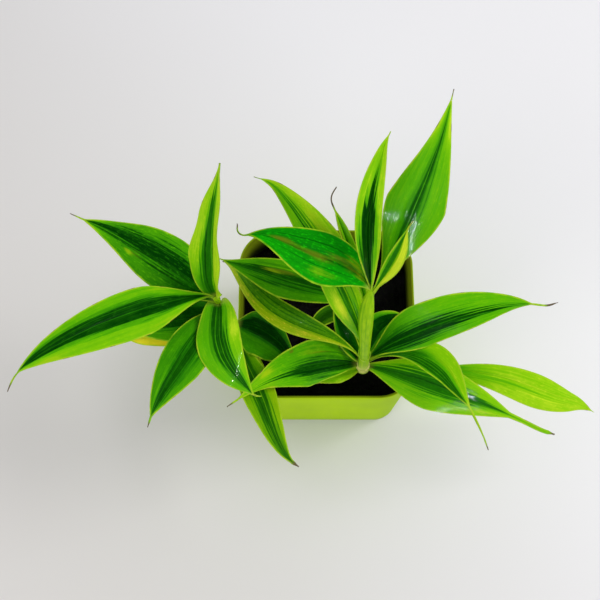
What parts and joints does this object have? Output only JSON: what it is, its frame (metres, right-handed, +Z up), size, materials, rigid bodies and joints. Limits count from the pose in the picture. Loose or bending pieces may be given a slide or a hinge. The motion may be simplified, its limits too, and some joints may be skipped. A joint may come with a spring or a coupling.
{
  "type": "potted lucky bamboo",
  "caption": "Variegated lucky bamboo with two leafy shoots of broad, pointed, arching leaves, standing in the soil of a square round-cornered pot.",
  "frame": {"origin": "centre of the pot's flat underside, on the surface the pot stands on", "axes": "+Z up; +X to the viewer's right, along the long spread of the leaves; -Y the front, towards the viewer"},
  "size_m": [0.3566, 0.1696, 0.2848],
  "materials": {
    "pot_plastic": "smooth glossy lime-green plastic",
    "soil": "dark, damp, crumbly potting soil",
    "foliage_left": "glossy green leaves with dark stripes and yellow-green margins",
    "foliage_right": "glossy green leaves with dark stripes and yellow-green margins"
  },
  "bodies": {
    "root": {"pot": "pot_plastic", "potting_soil": "soil", "left_leafy_shoot": "foliage_left", "right_leafy_shoot": "foliage_right"}
  },
  "joints": []
}
